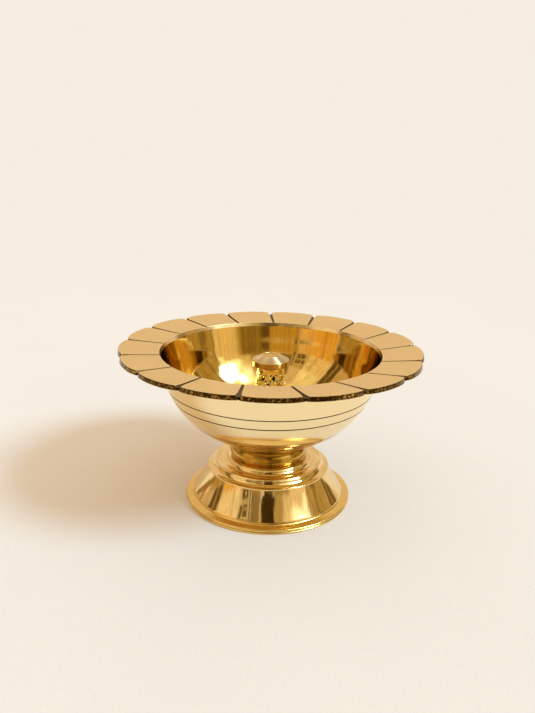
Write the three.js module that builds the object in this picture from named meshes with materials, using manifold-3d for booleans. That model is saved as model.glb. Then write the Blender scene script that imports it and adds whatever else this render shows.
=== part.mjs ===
// Pedestal diya: a brass oil lamp. A bowl with a rim of petals stands on a stepped bell foot,
// and a pierced wick holder with a lift-off cap is screwed to the middle of the bowl.
// Millimetres, +Z up. The origin is on the table, at the centre of the foot.

import * as THREE from 'three';
import { mergeVertices } from 'three/addons/utils/BufferGeometryUtils.js';
import Module from 'manifold-3d';

const wasm = await Module();
wasm.setup();

// Driving dimensions

const petalCount = 17;
const petalTipRadius = 70;
const petalNotchRadius = 66.8;
const firstNotch = THREE.MathUtils.degToRad(111.9);
const rimCup = THREE.MathUtils.degToRad(5.8); // the petals rise outwards by this much
const rimThickness = 2.1;

const bowlMouthRadius = 51.2;
const bowlMouthHeight = 73.5;
const bowlSeatRadius = 16.2;
const bowlSeatHeight = 27.8;
const bowlWall = 1.8;

const footRadius = 40;
const footWall = 1.8;
const collarSeatHeight = 21.2; // the neck collar stands here on the foot
const collarRadius = 18.7;

const studRadius = 3;
const studHoleRadius = 3.4;

const cageFootRadius = 11.3;
const cageSeatHeight = 32.6;
const capSeatHeight = 66.1;
const capRadius = 8.8;

// Steps around a turned piece, more where the piece is wide

const bowlSteps = 4 * petalCount;
const footSteps = 60;
const collarSteps = 40;
const holderSteps = 32;
const smallSteps = 24;

// Materials

const polishedBrass = new THREE.MeshStandardMaterial({ color: 0xd9a441, roughness: 0.12, metalness: 1 });
const satinBrass = new THREE.MeshStandardMaterial({ color: 0xd2a860, roughness: 0.35, metalness: 1 });
const engravedBrass = new THREE.MeshStandardMaterial({ color: 0xc68a22, roughness: 0.3, metalness: 1 });
const drawnBrass = new THREE.MeshStandardMaterial({ color: 0xb98a3a, roughness: 0.4, metalness: 1 });
const platedSteel = new THREE.MeshStandardMaterial({ color: 0x9a9c9e, roughness: 0.4, metalness: 1 });
const redFibre = new THREE.MeshStandardMaterial({ color: 0x8a3a26, roughness: 0.85, metalness: 0 });

// Shaping helpers

// Turns a closed profile of (radius, height) round the Z axis.
function turned(profile, steps, curvePoints = 5) {
  const points = profile.getPoints(curvePoints);
  points.push(points[0].clone());
  const geometry = new THREE.LatheGeometry(points, steps);
  geometry.rotateX(Math.PI / 2);
  return geometry;
}

// A point of a curve, moved sideways to the curve's right by a distance.
function besideCurve(curve, share, distance) {
  const along = curve.getTangent(share);
  const point = curve.getPoint(share);
  return new THREE.Vector2(point.x + along.y * distance, point.y - along.x * distance);
}

function offsetPoints(curve, distance, count) {
  const points = [];
  for (let i = 0; i <= count; i += 1) {
    points.push(besideCurve(curve, i / count, distance));
  }
  return points;
}

function solidOf(geometry) {
  const bare = geometry.clone();
  bare.deleteAttribute('normal');
  bare.deleteAttribute('uv');
  const merged = mergeVertices(bare, 1e-4);
  return new wasm.Manifold(new wasm.Mesh({
    numProp: 3,
    vertProperties: new Float32Array(merged.attributes.position.array),
    triVerts: new Uint32Array(merged.index.array),
  }));
}

function geometryOf(solid) {
  const mesh = solid.getMesh();
  const geometry = new THREE.BufferGeometry();
  geometry.setAttribute('position', new THREE.BufferAttribute(new Float32Array(mesh.vertProperties), 3));
  geometry.setIndex(new THREE.BufferAttribute(new Uint32Array(mesh.triVerts), 1));
  geometry.computeVertexNormals();
  return geometry;
}

function cut(body, cutters) {
  return cutters.reduce((left, cutter) => left.subtract(solidOf(cutter)), body);
}

function piece(name, geometry, material) {
  const mesh = new THREE.Mesh(geometry, material);
  mesh.name = name;
  return mesh;
}

// Bowl with its rim of petals, one casting

function rimHeight(radius) {
  return bowlMouthHeight + (radius - bowlMouthRadius) * Math.tan(rimCup);
}

// Radius of the petal edge, a rounded lobe between one notch and the next.
function petalRadius(share) {
  const squareness = 2.5;
  const fromMiddle = Math.abs(2 * share - 1);
  const rise = (1 - fromMiddle ** squareness) ** (1 / squareness);
  return petalNotchRadius + (petalTipRadius - petalNotchRadius) * rise;
}

function petalOutline() {
  const stepsPerPetal = 6;
  const outline = new THREE.Shape();
  for (let petal = 0; petal < petalCount; petal += 1) {
    for (let step = 0; step < stepsPerPetal; step += 1) {
      const share = (1 - Math.cos((Math.PI * step) / stepsPerPetal)) / 2;
      const angle = firstNotch + ((petal + share) * 2 * Math.PI) / petalCount;
      const radius = petalRadius(share);
      const x = radius * Math.cos(angle);
      const y = radius * Math.sin(angle);
      if (petal + step === 0) {
        outline.moveTo(x, y);
      } else {
        outline.lineTo(x, y);
      }
    }
  }
  return outline;
}

// A saw-cut groove that marks one petal from the next, widest at the notch.
function petalGroove(index) {
  const depth = 0.8;
  const clearAbove = 2;
  const length = petalNotchRadius - bowlMouthRadius - 0.8;
  const overrun = 4;
  const halfInner = 0.55;
  const halfOuter = 0.85;
  const skew = THREE.MathUtils.degToRad(6.5); // the cuts aren't quite radial
  const plan = new THREE.Shape();
  plan.moveTo(-length, -halfInner);
  plan.lineTo(overrun, -halfOuter);
  plan.lineTo(overrun, halfOuter);
  plan.lineTo(-length, halfInner);
  plan.closePath();
  const groove = new THREE.ExtrudeGeometry(plan, { depth: depth + clearAbove, bevelEnabled: false });
  groove.translate(0, 0, -depth);
  groove.rotateY(-rimCup);
  groove.rotateZ(skew);
  groove.translate(petalNotchRadius, 0, rimHeight(petalNotchRadius));
  groove.rotateZ(firstNotch + (index * 2 * Math.PI) / petalCount);
  return groove;
}

const bowlOutside = new THREE.SplineCurve([
  new THREE.Vector2(bowlSeatRadius, bowlSeatHeight),
  new THREE.Vector2(23.7, 31.7),
  new THREE.Vector2(37.3, 40.8),
  new THREE.Vector2(46.1, 52.5),
  new THREE.Vector2(49.8, 63.5),
  new THREE.Vector2(52.4, 71.5),
]);

// The outside wall from seat to rim, with two fine lines turned into it.
function bowlOutsidePoints(wallSteps) {
  const lineShares = [0.604, 0.69];
  const lineHalfShare = 0.007;
  const lineDepth = 0.3;
  const stations = [];
  for (let step = 0; step <= wallSteps; step += 1) {
    stations.push({ share: step / wallSteps, inset: 0 });
  }
  lineShares.forEach((share) => {
    stations.push({ share: share - lineHalfShare, inset: 0 });
    stations.push({ share, inset: lineDepth });
    stations.push({ share: share + lineHalfShare, inset: 0 });
  });
  stations.sort((a, b) => a.share - b.share);
  return stations.map(({ share, inset }) => besideCurve(bowlOutside, share, -inset));
}

function bowlProfile() {
  const wallSteps = 8;
  const trimRadius = petalTipRadius + 2; // the petal outline is cut from a wider plate
  const floorHeight = bowlSeatHeight + bowlWall;
  const outside = bowlOutsidePoints(wallSteps);
  const inside = offsetPoints(bowlOutside, -bowlWall, wallSteps).slice(1, -1).reverse();
  const profile = new THREE.Path();
  profile.moveTo(studHoleRadius, bowlSeatHeight);
  outside.forEach((point) => profile.lineTo(point.x, point.y));
  profile.lineTo(trimRadius, rimHeight(trimRadius) - rimThickness);
  profile.lineTo(trimRadius, rimHeight(trimRadius));
  profile.lineTo(bowlMouthRadius + 0.3, rimHeight(bowlMouthRadius + 0.3));
  profile.lineTo(bowlMouthRadius, bowlMouthHeight - 0.3);
  inside.forEach((point) => profile.lineTo(point.x, point.y));
  profile.lineTo(bowlSeatRadius - 0.8, floorHeight);
  profile.lineTo(studHoleRadius, floorHeight);
  return profile;
}

function petalBowl() {
  const petalPrism = new THREE.ExtrudeGeometry(petalOutline(), { depth: 100, bevelEnabled: false });
  const grooves = [];
  for (let index = 0; index < petalCount; index += 1) {
    grooves.push(petalGroove(index));
  }
  const blank = solidOf(turned(bowlProfile(), bowlSteps)).intersect(solidOf(petalPrism));
  return piece('petal_bowl', geometryOf(cut(blank, grooves)), polishedBrass);
}

// Bell foot, a hollow casting: a flat lip, a cone, and two coves that each end in a sharp ridge

const clampHeight = collarSeatHeight - footWall - 0.3; // underside of the crown of the foot

function pedestalFoot() {
  const crown = collarSeatHeight;
  const lipTop = 1.9;
  const profile = new THREE.Path();
  profile.moveTo(studHoleRadius, clampHeight);
  profile.lineTo(13, clampHeight);
  profile.lineTo(17.6, clampHeight - 0.5);
  profile.lineTo(20.4, clampHeight - 2.2);
  profile.lineTo(23.6, clampHeight - 2.2);
  profile.lineTo(24.9, 16);
  profile.lineTo(27, 14);
  profile.lineTo(30.2, 9);
  profile.lineTo(34.6, 2);
  profile.lineTo(35.8, 0);
  profile.lineTo(footRadius - 0.5, 0);
  profile.quadraticCurveTo(footRadius, 0, footRadius, 0.7);
  profile.quadraticCurveTo(footRadius, lipTop, footRadius - 1.1, lipTop);
  profile.lineTo(37.2, 2.6);
  profile.lineTo(36.5, 3.5);
  profile.quadraticCurveTo(32, 9.4, 29.1, 16);
  profile.lineTo(28.8, 16.35);
  profile.quadraticCurveTo(26.5, 16.5, 25.8, 18.7);
  profile.lineTo(25.5, 19.15);
  profile.lineTo(25, 19.15);
  profile.quadraticCurveTo(20.6, 17.7, 19.7, 20.6);
  profile.lineTo(19.2, crown);
  profile.lineTo(studHoleRadius, crown);
  return piece('pedestal_foot', turned(profile, footSteps, 3), polishedBrass);
}

// Neck collar, the cushion-shaped spacer ring between foot and bowl

function neckCollar() {
  const boreRadius = 6.5;
  const profile = new THREE.Path();
  profile.moveTo(boreRadius, collarSeatHeight);
  profile.lineTo(collarRadius - 0.7, collarSeatHeight);
  profile.quadraticCurveTo(collarRadius + 0.4, collarSeatHeight + 1.4, collarRadius, bowlSeatHeight - 3.4);
  profile.quadraticCurveTo(collarRadius - 0.5, bowlSeatHeight - 1, collarRadius - 2.3, bowlSeatHeight);
  profile.lineTo(boreRadius, bowlSeatHeight);
  return piece('neck_collar', turned(profile, collarSteps), polishedBrass);
}

// Stud, washers and nut that clamp the stack together

function centreStud() {
  const bottom = clampHeight - 9.6;
  const top = bowlSeatHeight + 9.9;
  const chamfer = 0.6;
  const profile = new THREE.Path();
  profile.moveTo(0, bottom);
  profile.lineTo(studRadius - chamfer, bottom);
  profile.lineTo(studRadius, bottom + chamfer);
  profile.lineTo(studRadius, top - chamfer);
  profile.lineTo(studRadius - chamfer, top);
  profile.lineTo(0, top);
  return piece('centre_stud', turned(profile, smallSteps), platedSteel);
}

function flatRing(innerRadius, outerRadius, bottom, thickness) {
  const profile = new THREE.Path();
  profile.moveTo(innerRadius, bottom);
  profile.lineTo(outerRadius, bottom);
  profile.lineTo(outerRadius, bottom + thickness);
  profile.lineTo(innerRadius, bottom + thickness);
  return turned(profile, smallSteps);
}

const plateWasherThickness = 1.2;
const springWasherThickness = 1.4;
const nutHeight = 5;

function footWasher() {
  const bottom = clampHeight - plateWasherThickness;
  return piece('foot_washer', flatRing(studHoleRadius, 9, bottom, plateWasherThickness), platedSteel);
}

function springWasher() {
  const bottom = clampHeight - plateWasherThickness - springWasherThickness;
  const ring = flatRing(studRadius + 0.3, 5.3, bottom, springWasherThickness);
  const split = new THREE.BoxGeometry(4, 0.8, 4);
  split.rotateX(THREE.MathUtils.degToRad(25));
  split.translate(4.5, 0, bottom + springWasherThickness / 2);
  return piece('spring_washer', geometryOf(cut(solidOf(ring), [split])), platedSteel);
}

function footNut() {
  const acrossFlats = 10;
  const top = clampHeight - plateWasherThickness - springWasherThickness;
  const cornerRadius = acrossFlats / 2 / Math.cos(Math.PI / 6);
  const hexagon = new THREE.CylinderGeometry(cornerRadius, cornerRadius, nutHeight, 6);
  const bore = new THREE.CylinderGeometry(studRadius + 0.2, studRadius + 0.2, 2 * nutHeight, smallSteps);
  [hexagon, bore].forEach((geometry) => {
    geometry.rotateX(Math.PI / 2);
    geometry.translate(0, 0, top - nutHeight / 2);
  });
  return piece('foot_nut', geometryOf(cut(solidOf(hexagon), [bore])), platedSteel);
}

// Wick holder: sealing washer, screwed base, pierced cage and cap

const sealThickness = 1;
const floorHeight = bowlSeatHeight + bowlWall;

function sealingWasher() {
  return piece('sealing_washer', flatRing(studHoleRadius + 0.2, 10.5, floorHeight, sealThickness), redFibre);
}

function wickHolderBase() {
  const bottom = floorHeight + sealThickness;
  const boreTop = 38.5;
  const bossTop = 40.1;
  const spigotTop = cageSeatHeight + 2.5;
  const profile = new THREE.Path();
  profile.moveTo(0, boreTop);
  profile.lineTo(studRadius + 0.2, boreTop - 0.8);
  profile.lineTo(studRadius + 0.2, bottom);
  profile.lineTo(12.1, bottom);
  profile.lineTo(12.4, bottom + 0.4);
  profile.lineTo(12.4, cageSeatHeight - 0.3);
  profile.lineTo(12.1, cageSeatHeight);
  profile.lineTo(9.9, cageSeatHeight);
  profile.lineTo(9.6, spigotTop);
  profile.lineTo(5.4, spigotTop);
  profile.lineTo(5, bossTop - 0.6);
  profile.lineTo(4.4, bossTop);
  profile.lineTo(0, bossTop);
  return piece('wick_holder_base', turned(profile, holderSteps), drawnBrass);
}

const cageWall = 1;
const cageMouthRadius = 3.5;
const cageOutside = new THREE.SplineCurve([
  new THREE.Vector2(cageFootRadius, cageSeatHeight),
  new THREE.Vector2(9.1, 44.7),
  new THREE.Vector2(7.35, 55.6),
  new THREE.Vector2(6.35, 63.5),
]);

// Puts a hole cutter across the wall of the cage, at a share of its side: 0 at its foot, 1 at its shoulder.
function piercing(cutter, share, angle) {
  const point = cageOutside.getPoint(share);
  cutter.rotateZ(Math.PI / 2);
  cutter.translate(point.x, 0, point.y);
  cutter.rotateZ(angle);
  return cutter;
}

const piercingLength = 4;

function diamond(halfWidth, halfHeight) {
  const cutter = new THREE.CylinderGeometry(1, 1, piercingLength, 4);
  cutter.scale(halfWidth, 1, halfHeight);
  return cutter;
}

function roundHole(radius) {
  return new THREE.CylinderGeometry(radius, radius, piercingLength, 6);
}

function wickCage() {
  const sideSteps = 4;
  const outside = cageOutside.getPoints(sideSteps);
  const inside = offsetPoints(cageOutside, -cageWall, sideSteps).reverse();
  const profile = new THREE.Path();
  profile.moveTo(inside[sideSteps].x, cageSeatHeight);
  outside.forEach((point) => profile.lineTo(point.x, point.y));
  profile.quadraticCurveTo(6.2, 65.6, 4.9, capSeatHeight);
  profile.lineTo(cageMouthRadius, capSeatHeight);
  profile.lineTo(cageMouthRadius, capSeatHeight - 1.2);
  profile.lineTo(4.4, capSeatHeight - 1.4);
  inside.slice(0, -1).forEach((point) => profile.lineTo(point.x, point.y));
  const columns = 8;
  const firstColumn = THREE.MathUtils.degToRad(14);
  const diamondRows = [0.24, 0.58, 0.92];
  const holeRows = [0.45, 0.83];
  const holes = [];
  for (let column = 0; column < columns; column += 1) {
    const angle = firstColumn + (column * 2 * Math.PI) / columns;
    const between = angle + Math.PI / columns;
    diamondRows.forEach((share) => holes.push(piercing(diamond(0.8, 1.5), share, angle)));
    holeRows.forEach((share) => holes.push(piercing(roundHole(0.5), share, between)));
  }
  const shell = solidOf(turned(profile, holderSteps, 2));
  return piece('wick_cage', geometryOf(cut(shell, holes)), engravedBrass);
}

// The cap's spigot hangs loose in the mouth of the cage, and its top is a shallow dish.
function wickCap() {
  const rimTop = capSeatHeight + 2.5;
  const discHeight = capSeatHeight + 4.7;
  const discRadius = 4.3;
  const spigotRadius = cageMouthRadius - 0.4;
  const spigotBottom = capSeatHeight - 4;
  const profile = new THREE.Path();
  profile.moveTo(0, spigotBottom);
  profile.lineTo(spigotRadius - 0.3, spigotBottom);
  profile.lineTo(spigotRadius, spigotBottom + 0.3);
  profile.lineTo(spigotRadius, capSeatHeight);
  profile.lineTo(capRadius - 0.3, capSeatHeight);
  profile.lineTo(capRadius, capSeatHeight + 0.3);
  profile.lineTo(capRadius, rimTop - 0.2);
  profile.lineTo(capRadius - 0.2, rimTop);
  profile.lineTo(discRadius, discHeight);
  profile.lineTo(discRadius - 0.4, discHeight);
  profile.lineTo(discRadius - 1, discHeight - 0.5);
  profile.lineTo(0, discHeight - 0.6);
  return piece('wick_cap', turned(profile, holderSteps), satinBrass);
}

// Assembly, from the table up

const diya = new THREE.Group();

const pedestal = new THREE.Group();
pedestal.add(pedestalFoot(), neckCollar(), centreStud(), footWasher(), springWasher(), footNut());

const bowl = new THREE.Group();
bowl.add(petalBowl(), sealingWasher());

const wickHolder = new THREE.Group();
wickHolder.add(wickHolderBase(), wickCage());

const wickLid = new THREE.Group();
wickLid.add(wickCap());

diya.add(pedestal, bowl, wickHolder, wickLid);

export default diya;
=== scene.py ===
# Brass pedestal diya: a bowl with a rim of petals on a stepped foot, and a pierced wick holder.
# Profiles are written in millimetres as (radius, height). The lamp stands on the floor at the origin.
import functools
import math

import bmesh
import bpy
from mathutils import Matrix, Vector, noise


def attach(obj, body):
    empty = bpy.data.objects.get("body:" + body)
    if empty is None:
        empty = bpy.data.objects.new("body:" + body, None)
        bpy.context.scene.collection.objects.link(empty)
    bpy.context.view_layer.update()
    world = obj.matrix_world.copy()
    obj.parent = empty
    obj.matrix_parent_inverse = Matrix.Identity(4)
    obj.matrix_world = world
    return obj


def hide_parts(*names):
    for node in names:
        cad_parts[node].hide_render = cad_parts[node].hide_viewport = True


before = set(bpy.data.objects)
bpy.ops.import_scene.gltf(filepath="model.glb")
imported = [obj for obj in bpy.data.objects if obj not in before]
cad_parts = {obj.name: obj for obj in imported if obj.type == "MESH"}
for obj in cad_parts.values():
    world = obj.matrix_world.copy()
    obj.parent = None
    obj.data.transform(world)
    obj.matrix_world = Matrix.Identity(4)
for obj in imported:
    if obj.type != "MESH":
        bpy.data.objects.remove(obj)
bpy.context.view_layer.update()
mm = 0.001
tiny = 1e-7              # metres, closer than any two points that stay apart
fullTurn = 2 * math.pi

# Heights at which two pieces meet
levels = {
    "nutTop": 16.5, "springTop": 17.9, "crownUnder": 19.1, "crownTop": 21.2, "bowlSeat": 27.8,
    "bowlFloor": 29.6, "holderSeat": 30.6, "cageSeat": 32.6, "cageTop": 66.1,
}


# Curves for the profiles

def arc(centre, radius, fromDegrees, toDegrees, steps=6):
    points = []
    for step in range(steps + 1):
        turn = math.radians(fromDegrees + (toDegrees - fromDegrees) * step / steps)
        points.append((centre[0] + radius * math.cos(turn), centre[1] + radius * math.sin(turn)))
    return points


# From start to end, drawn towards a third point on the way.
def pulled(start, pull, end, steps=8):
    corners = (start, pull, end)
    points = []
    for step in range(steps + 1):
        share = step / steps
        weights = ((1 - share) ** 2, 2 * share * (1 - share), share * share)
        points.append(tuple(sum(weight * corner[axis] for weight, corner in zip(weights, corners))
                            for axis in (0, 1)))
    return points


# A smooth line through all the points.
def through(points, stepsPerSpan=8):
    padded = [points[0]] + list(points) + [points[-1]]
    line = [points[0]]
    for span in range(len(points) - 1):
        corners = padded[span:span + 4]
        for step in range(1, stepsPerSpan + 1):
            share = step / stepsPerSpan
            line.append(tuple(
                0.5 * (2 * start + (end - before) * share
                       + (2 * before - 5 * start + 4 * end - after) * share * share
                       + (3 * start - before - 3 * end + after) * share ** 3)
                for before, start, end, after in zip(*corners)))
    return line


# The same line moved sideways, to the left of the way it runs.
def beside(line, distance):
    moved = []
    for i, point in enumerate(line):
        before = line[max(i - 1, 0)]
        after = line[min(i + 1, len(line) - 1)]
        along = Vector((after[0] - before[0], after[1] - before[1])).normalized()
        moved.append((point[0] - along.y * distance, point[1] + along.x * distance))
    return moved


# A closed ring section with rounded corners.
def ringSection(inner, outer, bottom, top, rounding, steps=3):
    left, right = inner + rounding, outer - rounding
    low, high = bottom + rounding, top - rounding
    return (arc((left, low), rounding, 180, 270, steps) + arc((right, low), rounding, 270, 360, steps)
            + arc((right, high), rounding, 0, 90, steps) + arc((left, high), rounding, 90, 180, steps))


# The wall of a hole from its upper to its lower end, with a small chamfer at both.
def boreWall(radius, bottom, top, chamfer):
    return [(radius + chamfer, top), (radius, top - chamfer), (radius, bottom + chamfer),
            (radius + chamfer, bottom)]


def smoothStep(share):
    share = min(max(share, 0.0), 1.0)
    return share * share * (3 - 2 * share)


# Mesh helpers

def placeAt(radius, angle, height):
    return Vector((radius * math.cos(angle), radius * math.sin(angle), height)) * mm


def whereIs(vert):
    return math.hypot(vert.co.x, vert.co.y) / mm, math.atan2(vert.co.y, vert.co.x), vert.co.z / mm


# Turns a closed profile round the upright axis. Each vertex keeps the number of its profile point.
def spinProfile(profile, steps, turn=fullTurn):
    bm = bmesh.new()
    rowLayer = bm.verts.layers.int.new("row")
    verts = [bm.verts.new((radius * mm, 0, height * mm)) for radius, height in profile]
    edges = []
    for row, vert in enumerate(verts):
        vert[rowLayer] = row
        following = verts[(row + 1) % len(verts)]
        onAxis = abs(vert.co.x) + abs(following.co.x) < tiny
        if not onAxis:
            edges.append(bm.edges.new((vert, following)))
    bmesh.ops.spin(bm, geom=verts + edges, cent=(0, 0, 0), axis=(0, 0, 1), dvec=(0, 0, 0),
                   angle=turn, steps=steps, use_merge=turn == fullTurn)
    bmesh.ops.remove_doubles(bm, verts=bm.verts, dist=tiny)
    bmesh.ops.recalc_face_normals(bm, faces=bm.faces)
    return bm


# The profile point at which the strip of this face starts.
def startRow(face, rowLayer, rowCount):
    rows = {vert[rowLayer] for vert in face.verts}
    wrapsRound = max(rows) - min(rows) > rowCount / 2
    return max(rows) if wrapsRound else min(rows)


def shadeSmooth(bm, sharpDegrees):
    for face in bm.faces:
        face.smooth = True
    for edge in bm.edges:
        edge.smooth = len(edge.link_faces) == 2 and edge.calc_face_angle(0) < math.radians(sharpDegrees)


# Turns a bmesh into an object at the origin and frees the bmesh.
def makeObject(bm, name):
    mesh = bpy.data.meshes.new(name)
    bm.to_mesh(mesh)
    bm.free()
    made = bpy.data.objects.new(name, mesh)
    bpy.context.scene.collection.objects.link(made)
    return made


def makePiece(bm, name, finishNames, body, node, sharpDegrees=38):
    shadeSmooth(bm, sharpDegrees)
    piece = makeObject(bm, name)
    for finish in finishNames:
        piece.data.materials.append(finishes[finish])
    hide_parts(node)
    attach(piece, body)
    print("made", name, len(piece.data.polygons))


# Cuts one mesh out of another and returns what is left.
def cutAway(bm, cutter):
    blank = makeObject(bm, "blank")
    tool = makeObject(cutter, "cutter")
    cut = blank.modifiers.new("cut", "BOOLEAN")
    cut.object = tool
    cut.operation = "DIFFERENCE"
    cut.solver = "MANIFOLD"
    evaluated = blank.evaluated_get(bpy.context.evaluated_depsgraph_get())
    result = bmesh.new()
    result.from_mesh(evaluated.to_mesh())
    evaluated.to_mesh_clear()
    for holder in (blank, tool):
        mesh = holder.data
        bpy.data.objects.remove(holder)
        bpy.data.meshes.remove(mesh)
    return result


# Node helpers

def connect(tree, node, inputs):
    for key, value in inputs.items():
        if isinstance(value, bpy.types.NodeSocket):
            tree.links.new(value, node.inputs[key])
        else:
            node.inputs[key].default_value = value
    return node


def add(tree, kind, inputs=None, **settings):
    node = tree.nodes.new("ShaderNode" + kind)
    for name, value in settings.items():
        setattr(node, name, value)
    return connect(tree, node, inputs or {})


def noiseAt(tree, place, size, detail, **changes):
    return add(tree, "TexNoise", {"Vector": place, "Scale": size, "Detail": detail, **changes}).outputs[0]


def maths(tree, operation, first, second=0.0, third=0.0):
    return add(tree, "Math", {0: first, 1: second, 2: third}, operation=operation).outputs[0]


def mixColour(tree, share, first, second):
    return add(tree, "Mix", {0: share, 6: first, 7: second}, data_type="RGBA").outputs[2]


def fromTo(tree, value, low, high, newLow, newHigh, kind="LINEAR"):
    return add(tree, "MapRange", {"Value": value, "From Min": low, "From Max": high,
                                  "To Min": newLow, "To Max": newHigh}, interpolation_type=kind).outputs[0]


def newGroup(name, inputs, outputs):
    tree = bpy.data.node_groups.new(name, "ShaderNodeTree")
    for label, kind, value in inputs:
        socket = tree.interface.new_socket(name=label, in_out="INPUT", socket_type="NodeSocket" + kind)
        if value is not None:
            socket.default_value = value
    for label in outputs:
        tree.interface.new_socket(name=label, in_out="OUTPUT", socket_type="NodeSocketFloat")
    return tree, tree.nodes.new("NodeGroupInput").outputs, tree.nodes.new("NodeGroupOutput")


def useGroup(tree, group, inputs):
    node = tree.nodes.new("ShaderNodeGroup")
    node.node_tree = group
    return connect(tree, node, inputs).outputs


# Sizes within the shared effects. A range is the noise at which an effect starts to show and is full.
effects = {
    "smudgesPerCloud": 3.7, "ripplesPerCloud": 2.2, "bandsPerRing": 0.12, "ringTurn": 0.0004,
    "stepsPerStroke": 0.2, "strokeUpright": 12.0, "noisePerPit": 0.6, "pitRadius": 0.2,
    "pitRange": (0.62, 0.68), "cloudRange": (0.35, 0.7), "bandRange": (0.4, 0.7),
    "smudgeRange": (0.4, 0.75), "strokeRange": (0.36, 0.5), "plainRange": (0.3, 0.7),
}


# Hand polishing: broad clouds, smudges, fine scratches and a slow ripple in the surface.
def makePolishGroup():
    tree, given, out = newGroup(
        "handPolish",
        [("Place", "Vector", None), ("Cloud Size", "Float", 60.0), ("Scratch Size", "Float", 900.0)],
        ["Cloud", "Smudge", "Scratch", "Ripple"])
    place = given["Place"]
    smudgeSize = maths(tree, "MULTIPLY", given["Cloud Size"], effects["smudgesPerCloud"])
    rippleSize = maths(tree, "MULTIPLY", given["Cloud Size"], effects["ripplesPerCloud"])
    stretched = add(tree, "Mapping", {"Vector": place, "Rotation": (0.5, 0.9, 0.3), "Scale": (1, 0.07, 0.25)})
    connect(tree, out, {
        "Cloud": noiseAt(tree, place, given["Cloud Size"], 4.0, Roughness=0.55),
        "Smudge": noiseAt(tree, place, smudgeSize, 5.0, Distortion=0.8),
        "Scratch": noiseAt(tree, stretched.outputs[0], given["Scratch Size"], 2.0),
        "Ripple": noiseAt(tree, place, rippleSize, 1.0),
    })
    return tree


# Fine rings left by the lathe: noise that changes with radius and height, and hardly round the axis.
def makeLatheGroup():
    tree, given, out = newGroup(
        "latheRings", [("Place", "Vector", None), ("Fineness", "Float", 1500.0)], ["Rings", "Band"])
    split = add(tree, "SeparateXYZ", {0: given["Place"]}).outputs
    level = add(tree, "CombineXYZ", {0: split[0], 1: split[1]}).outputs[0]
    radius = add(tree, "VectorMath", {0: level}, operation="LENGTH").outputs["Value"]
    around = maths(tree, "ARCTAN2", split[1], split[0])
    turned = maths(tree, "MULTIPLY", around, effects["ringTurn"])
    flat = add(tree, "CombineXYZ", {0: radius, 1: turned, 2: split[2]}).outputs[0]
    bandFineness = maths(tree, "MULTIPLY", given["Fineness"], effects["bandsPerRing"])
    connect(tree, out, {"Rings": noiseAt(tree, flat, given["Fineness"], 3.0),
                        "Band": noiseAt(tree, flat, bandFineness, 2.0)})
    return tree


# Upright strokes of a file round an edge, and the coarser steps between them.
def makeFileGroup():
    tree, given, out = newGroup(
        "fileStrokes", [("Place", "Vector", None), ("Strokes", "Float", 120.0)], ["Marks", "Steps"])
    split = add(tree, "SeparateXYZ", {0: given["Place"]}).outputs
    around = maths(tree, "ARCTAN2", split[1], split[0])
    upright = maths(tree, "MULTIPLY", split[2], effects["strokeUpright"])
    flat = add(tree, "CombineXYZ", {0: around, 1: upright}).outputs[0]
    coarse = maths(tree, "MULTIPLY", given["Strokes"], effects["stepsPerStroke"])
    connect(tree, out, {"Marks": noiseAt(tree, flat, given["Strokes"], 3.0),
                        "Steps": noiseAt(tree, flat, coarse, 1.0)})
    return tree


# Small casting pits, as a mask that is 1 in a pit.
def makePitGroup():
    tree, given, out = newGroup(
        "castPits", [("Place", "Vector", None), ("Spacing", "Float", 420.0)], ["Pits"])
    cells = add(tree, "TexVoronoi", {"Vector": given["Place"], "Scale": given["Spacing"]})
    sieve = maths(tree, "MULTIPLY", given["Spacing"], effects["noisePerPit"])
    chosen = noiseAt(tree, given["Place"], sieve, 1.0)
    near = fromTo(tree, cells.outputs["Distance"], 0.0, effects["pitRadius"], 1.0, 0.0)
    few = fromTo(tree, chosen, *effects["pitRange"], 0.0, 1.0)
    connect(tree, out, {"Pits": maths(tree, "MULTIPLY", near, few)})
    return tree


polishGroup = makePolishGroup()
latheGroup = makeLatheGroup()
fileGroup = makeFileGroup()
pitGroup = makePitGroup()
print("effect groups ready")


# Finishes. Colours are linear, heights are metres, sizes are counts per metre.

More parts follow.
